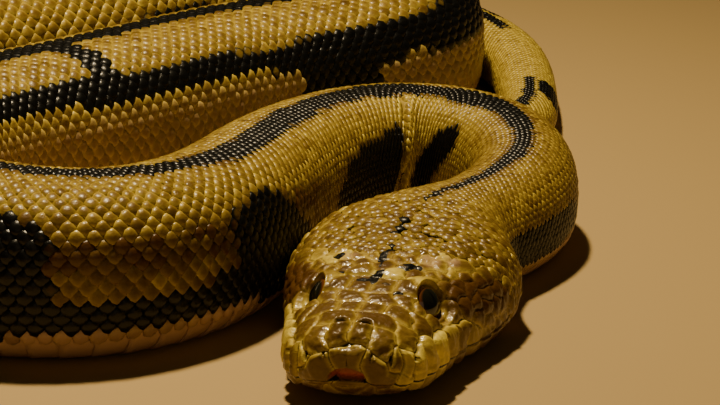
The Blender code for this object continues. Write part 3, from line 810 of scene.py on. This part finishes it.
def make_eye(name, side):
    """A smooth egg shape whose rings run round the direction it looks in."""
    around, rings = 64, 48
    tilt = np.linspace(0, math.pi, rings + 2)[1:-1, None]
    turn = np.linspace(0, 2 * math.pi, around, endpoint=False)[None, :]
    through = EYE_DEPTH * np.cos(tilt) + 0 * turn
    off_axis = EYE_FACE * np.sin(tilt)
    axis = eye_axis(side)
    level = np.cross((0, 0, 1), axis)
    level /= np.linalg.norm(level)
    up = np.cross(axis, level)
    local = np.stack((through, off_axis * np.cos(turn), off_axis * np.sin(turn)), axis=-1).reshape(-1, 3)
    local = np.concatenate((local, [(EYE_DEPTH, 0, 0), (-EYE_DEPTH, 0, 0)]))
    placed = np.array((EYE_BACK, side * EYE_OUT, EYE_UP)) + local @ np.array((axis, level, up))
    mesh = solid_mesh(name, spot(*placed.T), tube_faces(rings, around))
    give_values(mesh, across=local[:, 1], up=local[:, 2])
    return link_object(name, mesh)


def eye_material():
    """Slit, iris and rust edge, read from each point's place on the eye's face."""
    material = bpy.data.materials.new("eye_gloss")
    material.use_nodes = True
    tree = material.node_tree
    across, up = read_value(tree, "across"), read_value(tree, "up")
    squared = [reckon(tree, "MULTIPLY", value, value) for value in (across, up)]
    iris = colour_ramp(
        tree, reckon(tree, "SQRT", reckon(tree, "ADD", *squared)), (0.0, (0.006, 0.007, 0.003)),
        (0.42, (0.009, 0.009, 0.004)), (0.51, (0.16, 0.05, 0.01)), (0.57, (0.2, 0.055, 0.012)),
        (0.66, (0.02, 0.008, 0.003)))
    from_tip = reckon(tree, "SUBTRACT", SLIT_REACH, reckon(tree, "ABSOLUTE", up))
    half_width = reckon(tree, "MULTIPLY", from_tip, SLIT / SLIT_REACH)
    in_slit = reckon(tree, "LESS_THAN", reckon(tree, "ABSOLUTE", across), half_width)
    shader = tree.nodes["Principled BSDF"]
    tree.links.new(mixed(tree, in_slit, iris, (0.002, 0.002, 0.002, 1)), shader.inputs["Base Color"])
    shader.inputs["Roughness"].default_value = 0.12
    shader.inputs["Coat Weight"].default_value = 1.0
    shader.inputs["Coat Roughness"].default_value = 0.03
    return material


eye_gloss = eye_material()
for label, side in (("left", -1), ("right", 1)):
    eye = make_eye("eye_ball_" + label, side)
    eye.data.materials.append(eye_gloss)
    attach(eye, "root")
    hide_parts("eye_" + label)

# ---- Small scales of the back and flanks -------------------------------------------------------
# Overlapping horny scales in slanting rows, each a low dome whose rear edge stands over the next.
# They are set in a lattice that follows the girth, so they close up in a bend and grow to the belly.
ROWS_TRUNK, ROWS_TAIL = 24, 16             # rows on each side of the spine
TAIL_ROWS_FROM = 236.0                     # where the rows thin out
SCALES_FROM = ((-57, 9.0), (-30, 8.9), (-5, 8.3), (20, 7.6), (45, 7.2), (90, 6.5))   # angle, distance back
PITCH = ((0, 1.12), (48, 1.1), (66, 1.35), (90, 1.4), (112, 1.65), (298, 1.6))   # length over row spacing
SCUTE_EDGE = 0.81                          # share of the girth where the belly plates begin
AT_SPINE = 0.82                            # spacing of the rows at the spine, over the mean
SUNK = -0.055                              # height of a scale's root over the body's surface
HEAD_SCALES_TO = 12.5                      # the scales behind the head are a piece of their own
MOST_IN_PIECE = 5200                       # scales that one piece may hold
LOWEST = 0.0002                            # metres over the floor
SCALE_RIM = (
    (-0.54, 0.0), (-0.35, 0.33), (0.02, 0.49), (0.4, 0.36), (0.58, 0.0), (0.4, -0.36), (0.02, -0.49),
    (-0.35, -0.33))


def turn_at(s, share):
    """The angle on the body at a signed share of the arc from the crown to the belly's edge."""
    row = np.clip((s - STOPS[0]) / (STOPS[1] - STOPS[0]), 0, len(STOPS) - 1.001)
    column = np.clip(np.abs(share), 0, 0.9999) * (len(SHARES) - 1)
    i, j = row.astype(int), column.astype(int)
    fi, fj = row - i, column - j
    near = TURN_AT[i, j] * (1 - fj) + TURN_AT[i, j + 1] * fj
    far = TURN_AT[i + 1, j] * (1 - fj) + TURN_AT[i + 1, j + 1] * fj
    angle = near * (1 - fi) + far * fi
    return np.where(share >= 0, angle, math.pi - angle)


def painted_light_and_shade(s, a):
    """Painted light and shade on the gold: painted light on the tail, the rear coil and the first bend, and
    painted shade low in front.
    """
    flank = ease(-a, 0.4, 0.55) * ease(s, 52, 60) * ease(-s, -112, -100)
    bend = ease(a, 0.05, 0.2) * ease(s, 20, 23) * ease(-s, -31, -27)
    low = ease(a, 0.42, 0.6) * ease(s, 32, 38) * ease(-s, -56, -50)
    return 0.48 * ease(s, 238, 246) + 0.48 * flank + 0.5 * bend - 0.3 * low


def browning(s, a):
    """How brown the gold turns: clouds over the whole body, and a band of painted shade low on the first run.
    """
    half_girth = np.interp(s, STOPS, HALF_GIRTH)
    clouds = wander(s + 1.3 * a * half_girth, 6.0, 1.1) * wander(a * half_girth - 0.6 * s, 7.0, 0.8)
    shade_band = patch(s, a + 0.015 * wander(s, 8.0, 0.7), 36.4, 50.0, 0.42, 0.56, 0.3)
    return np.clip(0.42 * ease(clouds, 0.15, 0.9) + 0.85 * shade_band, 0, 1)


def hidden_shape(name, points, faces, middle, across):
    """A template to lay on every root, with what its material and its map read."""
    mesh = solid_mesh(name, np.array(points), faces)
    give_values(mesh, middle=middle, patch_x=[p[0] for p in points], patch_y=across)
    obj = link_object(name, mesh)
    obj.hide_render = True
    return obj


def scale_template():
    """One scale: a domed diamond with round corners, closed underneath, standing up at its rear."""
    points = [(x, y, -0.06 + 0.08 * (x + 0.5)) for x, y in SCALE_RIM]
    points += [(0.02 + 0.76 * x, 0.78 * y, 0.105 + 0.08 * (0.76 * x + 0.5)) for x, y in SCALE_RIM]
    points += [(0.03 + 0.42 * x, 0.42 * y, 0.195 + 0.08 * (0.42 * x + 0.5)) for x, y in SCALE_RIM[::2]]
    points.append((0.03, 0.0, 0.25))
    count = len(SCALE_RIM)
    top = 2 * count
    faces = [face[::-1] for face in tube_quads(2, count)]
    for k in range(4):
        after = (k + 1) % 4
        one, two, three = (count + (2 * k + j) % count for j in range(3))
        faces += [(top + k, two, one), (top + k, top + after, two), (top + after, three, two)]
        faces.append((top + 4, top + after, top + k))
    faces.append(tuple(range(count)))
    middle = [0.0] * count + [0.5] * count + [0.9] * 4 + [1.0]
    return hidden_shape("scale_shape", points, faces, middle, [p[1] for p in points])


def lattice(rows, start, end):
    """Distances along the body, and shares round it, of every scale between two places."""
    step = 0.02
    fine = np.arange(start, end, step)
    spacing = np.interp(fine, STOPS, HALF_GIRTH) / rows
    count = np.concatenate(([0], np.cumsum(step / (glide(fine, PITCH) * spacing))))[:-1]
    found = []
    for row in range(-rows, rows + 1):
        u = abs(row) / (rows + 0.5)
        share = math.copysign(u * (AT_SPINE + (1 - AT_SPINE) * u), row)
        at = np.interp(np.arange(0.5 * (row % 2), count[-1], 1.0), count, fine)
        found.append(np.column_stack(np.broadcast_arrays(at, share, row / rows)))
    places = np.concatenate(found)
    return places[np.argsort(places[:, 0], kind="stable")]


def scale_lie(places, rows):
    """World place, outward and tailward directions, and length, width and height of each scale."""
    s, a = places[:, 0], places[:, 1]
    spacing = np.interp(s, STOPS, HALF_GIRTH) / rows

    def moved(along, around=0.0):
        return hide_point(s + along, turn_at(s + along, a + around), SUNK)

    root = moved(0.0)
    tailward = (moved(0.12) - moved(-0.12)) / 0.24
    round_it = (moved(0.0, 0.01) - moved(0.0, -0.01)) / 0.02
    outward = np.cross(round_it, tailward)
    outward *= np.sign((outward * (root - spot(s, 0.0, section(s)[2]))).sum(axis=1))[:, None]
    outward /= np.linalg.norm(outward, axis=1)[:, None]
    long = np.linalg.norm(tailward, axis=1) * glide(s, PITCH) * spacing
    u = np.abs(places[:, 2]) * rows / (rows + 0.5)
    spread = (AT_SPINE + 2 * (1 - AT_SPINE) * u) / (rows + 0.5)
    wide = 2 * np.linalg.norm(round_it, axis=1) * spread
    return root, outward, tailward, np.stack((long * 1.1, wide * 1.04, np.sqrt(long * wide)), axis=1)


def cover_tree():
    """Geometry Nodes: one template on every root, turned to its lie, made real, with its own map."""
    tree = bpy.data.node_groups.new("lay_scales", "GeometryNodeTree")
    for name, kind, start in (
            ("Geometry", "Geometry", None), ("Template", "Object", None), ("Size", "Float", 1.0),
            ("Thickness", "Float", 1.0), ("Unevenness", "Float", 0.05), ("Patch", "Float", 0.003),
            ("Seed", "Int", 7), ("Material", "Material", None)):
        socket = tree.interface.new_socket(name, in_out="INPUT", socket_type="NodeSocket" + kind)
        if start is not None:
            socket.default_value = start
    tree.interface.new_socket("Geometry", in_out="OUTPUT", socket_type="NodeSocketGeometry")
    given = tree.nodes.new("NodeGroupInput").outputs

    def named(name, kind="FLOAT_VECTOR"):
        node = add_node(tree, "GeometryNodeInputNamedAttribute", [("Name", name)], data_type=kind)
        return node.outputs["Attribute"]

    def vector(operation, first, second):
        sockets = ((0, first), ("Scale" if operation == "SCALE" else 1, second))
        return add_node(tree, "ShaderNodeVectorMath", sockets, operation=operation).outputs["Vector"]

    def combined(*parts):
        return add_node(tree, "ShaderNodeCombineXYZ", enumerate(parts)).outputs["Vector"]

    uneven = add_node(tree, "FunctionNodeRandomValue", (
        ("Min", (-1, -1, -1)), ("Max", (1, 1, 1)), ("Seed", given["Seed"])), data_type="FLOAT_VECTOR")
    jitter = vector("SCALE", uneven.outputs["Value"], given["Unevenness"])
    turn = add_node(tree, "FunctionNodeAxesToRotation", (
        ("Primary Axis", vector("ADD", named("outward"), jitter)), ("Secondary Axis", named("tailward"))),
        primary_axis="Z", secondary_axis="X")
    stretch = combined(given["Size"], given["Size"], given["Thickness"])
    roots = add_node(tree, "GeometryNodeMeshToPoints", [("Mesh", given["Geometry"])])
    template = add_node(tree, "GeometryNodeObjectInfo", [("Object", given["Template"])])
    spread = add_node(tree, "GeometryNodeInstanceOnPoints", (
        ("Points", roots.outputs["Points"]), ("Instance", template.outputs["Geometry"]),
        ("Rotation", turn.outputs["Rotation"]), ("Scale", vector("MULTIPLY", named("size"), stretch))))
    real = add_node(tree, "GeometryNodeRealizeInstances", [("Geometry", spread.outputs["Instances"])])
    corner = combined(named("patch_x", "FLOAT"), named("patch_y", "FLOAT"))
    place_on_map = vector("ADD", named("root_map"), vector("SCALE", corner, given["Patch"]))
    keep = add_node(tree, "GeometryNodeStoreNamedAttribute", (
        ("Geometry", real.outputs["Geometry"]), ("Name", "OFBake"), ("Value", place_on_map)),
        data_type="FLOAT2", domain="CORNER")
    finish = add_node(tree, "GeometryNodeSetMaterial", (
        ("Geometry", keep.outputs["Geometry"]), ("Material", given["Material"])))
    add_node(tree, "NodeGroupOutput", [("Geometry", finish.outputs["Geometry"])])
    return tree


COVER = cover_tree()


def lay(name, template, lie, values, root_map, material, **settings):
    """Make one piece of scales from its roots, as a plain mesh that rides on the body."""
    root, outward, tailward, size = lie
    mesh = bpy.data.meshes.new(name + "_roots")
    mesh.from_pydata(root.tolist(), [], [])
    root_map = np.column_stack((root_map, np.zeros(len(root))))
    give_values(mesh, outward=outward, tailward=tailward, size=size, root_map=root_map, **values)
    roots = link_object(name + "_roots", mesh)
    cover = roots.modifiers.new("scales", "NODES")
    cover.node_group = COVER
    inputs = {item.name: item.identifier for item in COVER.interface.items_tree if item.in_out == "INPUT"}
    for label, value in {"Template": template, "Material": material, **settings}.items():
        cover[inputs[label]] = value
    bpy.context.view_layer.update()
    evaluated = roots.evaluated_get(bpy.context.evaluated_depsgraph_get())
    finished = bpy.data.meshes.new_from_object(evaluated)
    finished.name = name
    # what rests on the floor lies flat on it
    places = np.empty(len(finished.vertices) * 3, dtype=np.float32)
    finished.vertices.foreach_get("co", places)
    places[2::3] = np.maximum(places[2::3], LOWEST)
    finished.vertices.foreach_set("co", places)
    for layer in ("outward", "tailward", "size", "root_map", "patch_x", "patch_y"):
        if layer in finished.attributes:
            finished.attributes.remove(finished.attributes[layer])
    bpy.data.objects.remove(roots, do_unlink=True)
    piece = link_object(name, finished)
    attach(piece, "root")
    return piece


def map_places(s, row):
    """Place of each scale on the flat unwrap of its own stretch of skin."""
    along = 0.01 + 0.98 * (s - s.min()) / (s.max() - s.min())
    return np.column_stack((along, 0.5 + 0.49 * row))


small_scale = scale_template()
scale_horn = horn_material("scale_horn", "Black Pale Tone Middle Brown", coat_rough=0.14, ripple=0.4)
chance = np.random.default_rng(11)
all_places = []
for rows, start, end in ((ROWS_TRUNK, 6.4, TAIL_ROWS_FROM), (ROWS_TAIL, TAIL_ROWS_FROM, LENGTH - 0.3)):
    places = lattice(rows, start, end)
    begins = edge_at(turn_at(places[:, 0], places[:, 1]), SCALES_FROM)
    places = places[(places[:, 0] > begins) & (np.abs(places[:, 1]) < SCUTE_EDGE + 0.03)]
    # the scales behind the head lie less evenly
    loose = ease(-places[:, 0], -14.0, -9.5)
    places[:, 0] += 0.07 * loose * chance.normal(0, 1, len(places))
    places[:, 1] += 0.009 * loose * chance.normal(0, 1, len(places))
    on_head = places[:, 0] < HEAD_SCALES_TO
    for group in (places[on_head], places[~on_head]):
        parts = math.ceil(len(group) / MOST_IN_PIECE)
        all_places += [(rows, part) for part in np.array_split(group, max(parts, 1)) if len(part)]
for number, (rows, part) in enumerate(all_places, 1):
    s, a = part[:, 0], part[:, 1]
    black, pale = markings(s, a)
    edge = black + chance.normal(0, 0.09, len(part)) * (black > 0.05)
    on_head = ease(-s, -HEAD_SCALES_TO, -9.5)
    tone = chance.normal(0.5, 0.18 + 0.04 * on_head, len(part)) - 0.2 * on_head
    # brown clouds, and a band of painted shade low on the first run
    brown = browning(s, a) * (0.6 + 0.8 * chance.random(len(part)))
    brown = np.maximum(brown, 0.6 * ease(black, 0.0, 0.3) * (s < 60))
    # painted light on the tail, the rear coil and the first bend, and painted shade low in front
    tone = np.clip(tone + painted_light_and_shade(s, a), 0, 1)
    *lie, size = scale_lie(part, rows)
    size = size * (1 + (0.05 + 0.1 * on_head) * chance.normal(0, 1, len(part)).clip(-2, 2))[:, None]
    colours = {"black": np.clip((edge - 0.2) / 0.6, 0, 1), "pale": pale, "tone": tone, "brown": brown}
    lay(f"scales_{number}", small_scale, (*lie, size), colours, map_places(s, part[:, 2]), scale_horn,
        Unevenness=0.16 if number == 1 else 0.07)
bpy.data.objects.remove(small_scale, do_unlink=True)

# ---- Belly plates ------------------------------------------------------------------------------
# Broad smooth plates across the belly, one to every two rows of small scales, each bent up round
# the edge of the belly and lying over the front of the next. They are laid from each side.
SCUTE_RANGES = ((9.2, 14.0), (14.0, 21.0), (21.0, 205.0), (205.0, 250.0), (250.0, 285.0), (285.0, 297.0))
SCUTE_RIM = (                              # along the body, height over the surface, how far from the rim
    (-0.6, -0.04, 0.0), (-0.2, 0.015, 0.4), (0.35, 0.045, 0.4), (0.62, 0.05, 0.0), (0.62, -0.03, 0.0),
    (-0.6, -0.09, 0.0))
SCUTE_STEPS = 11                           # places across half a plate
UNDERSIDE = (-64, -74, -86)                # angles of the last of them, in degrees


def scute_template(at, side):
    """Half a belly plate, bent to the outline at one distance along the body, in centimetres."""
    count, around = SCUTE_STEPS, len(SCUTE_RIM)
    bent = count - len(UNDERSIDE)
    angles = turn_at(np.full(bent, at), np.linspace(SCUTE_EDGE - 0.03, 0.999, bent))
    angles = np.append(angles, np.radians(UNDERSIDE))
    middle = turn_at(np.array([at]), np.array([0.9]))[0]
    rim = np.stack(outline(np.full(count, at), angles, -0.05), axis=-1)
    root = np.array(outline(at, middle, SUNK))
    step = np.array(outline(at, middle + 0.01, SUNK)) - np.array(outline(at, middle - 0.01, SUNK))
    outward = np.array((step[1], -step[0])) / np.hypot(*step)
    slope = np.gradient(rim, axis=0)
    facing = np.stack((-slope[:, 1], slope[:, 0]), axis=-1)
    facing /= np.linalg.norm(facing, axis=1)[:, None]
    facing[bent:] = (0, -1)
    facing[0] *= 0.3
    points, middles = [], []
    for place in range(count):
        for x, raised, deep in SCUTE_RIM:
            from_root = rim[place] + raised * facing[place] - root
            points.append((x, side * (from_root @ (outward[1], -outward[0])), from_root @ outward))
            middles.append(deep * (0 < place < count - 1))
    faces = tube_quads(count, around)
    faces += [tuple(range(around))[::-1], tuple(range((count - 1) * around, count * around))]
    if side > 0:
        faces = [face[::-1] for face in faces]
    across = np.repeat(np.linspace(-0.5, 0.5, count), around)
    return hidden_shape("scute_shape", points, faces, middles, across)


scute_horn = horn_material("scute_horn", "Black Pale Tone Middle")
number = 0
for start, end in SCUTE_RANGES:
    middle = (start + end) / 2
    at = [start]
    while at[-1] < end:
        pitch = 2 * min(float(glide(at[-1], PITCH)), 1.15) * np.interp(at[-1], STOPS, HALF_GIRTH) / ROWS_TRUNK
        at.append(at[-1] + pitch)
    at = np.array(at[:-1])
    pitches = np.diff(np.append(at, end + 0.5))
    swelling = section(at)[2] / section(middle)[2] * CM
    for side in (1, -1):
        number += 1
        template = scute_template(middle, side)
        places = np.column_stack(np.broadcast_arrays(at, 0.9 * side, 0.9 * side))
        root, outward, tailward, _ = scale_lie(places, ROWS_TRUNK)
        size = np.stack((np.linalg.norm(tailward, axis=1) * pitches, swelling, swelling), axis=1)
        black = np.clip((markings(at, np.full(len(at), 0.84 * side))[0] - 0.2) / 0.6, 0, 1)
        tone = np.clip(chance.normal(0.5, 0.08, len(at)), 0, 1)
        colours = {"black": black, "pale": np.full(len(at), 0.92), "tone": tone}
        lay(f"belly_plates_{number}", template, (root, outward, tailward, size), colours,
            map_places(at, places[:, 2]), scute_horn, Unevenness=0.01)
        bpy.data.objects.remove(template, do_unlink=True)

# ---- Floor, light and camera --------------------------------------------------------------------
# A plain pale floor, one small lamp nearly overhead, a weak fill from in front, and the camera low
# in front of the head.
floor_mesh = bpy.data.meshes.new("floor")
floor_mesh.from_pydata([(-3, -2, 0), (3, -2, 0), (3, 6, 0), (-3, 6, 0)], [], [(0, 1, 2, 3)])
floor = link_object("floor", floor_mesh)
floor_finish = bpy.data.materials.new("floor")
floor_finish.use_nodes = True
floor_shader = floor_finish.node_tree.nodes["Principled BSDF"]
floor_shader.inputs["Base Color"].default_value = (0.43, 0.3, 0.122, 1)
floor_shader.inputs["Roughness"].default_value = 0.85
floor_mesh.materials.append(floor_finish)


def soft_light(name, place, target, width, power, colour):
    """A square soft light that faces a point."""
    data = bpy.data.lights.new(name, "AREA")
    data.size, data.energy, data.color = width, power, colour
    lamp = link_object(name, data)
    lamp.location = place
    lamp.rotation_euler = (Vector(target) - Vector(place)).to_track_quat("-Z", "Y").to_euler()


soft_light("key", (0.06, 0.07, 0.95), (-0.45, -0.3, 0), 0.08, 17.2, (1.0, 0.78, 0.46))
soft_light("fill", (0.5, -1.7, 0.7), (0.1, -0.1, 0), 1.0, 0.8, (1.0, 0.8, 0.5))
world = bpy.context.scene.world or bpy.data.worlds.new("studio")
bpy.context.scene.world = world
world.use_nodes = True
world.node_tree.nodes["Background"].inputs["Color"].default_value = (1.0, 0.8, 0.5, 1)
world.node_tree.nodes["Background"].inputs["Strength"].default_value = 0.022

camera_data = bpy.data.cameras.new("camera")
camera_data.lens, camera_data.sensor_width = 111.6, 36
camera = link_object("camera", camera_data)
camera.location = (0.1672, -0.8616, 0.2655)
camera.rotation_euler = (math.radians(73), 0, 0)
bpy.context.scene.camera = camera
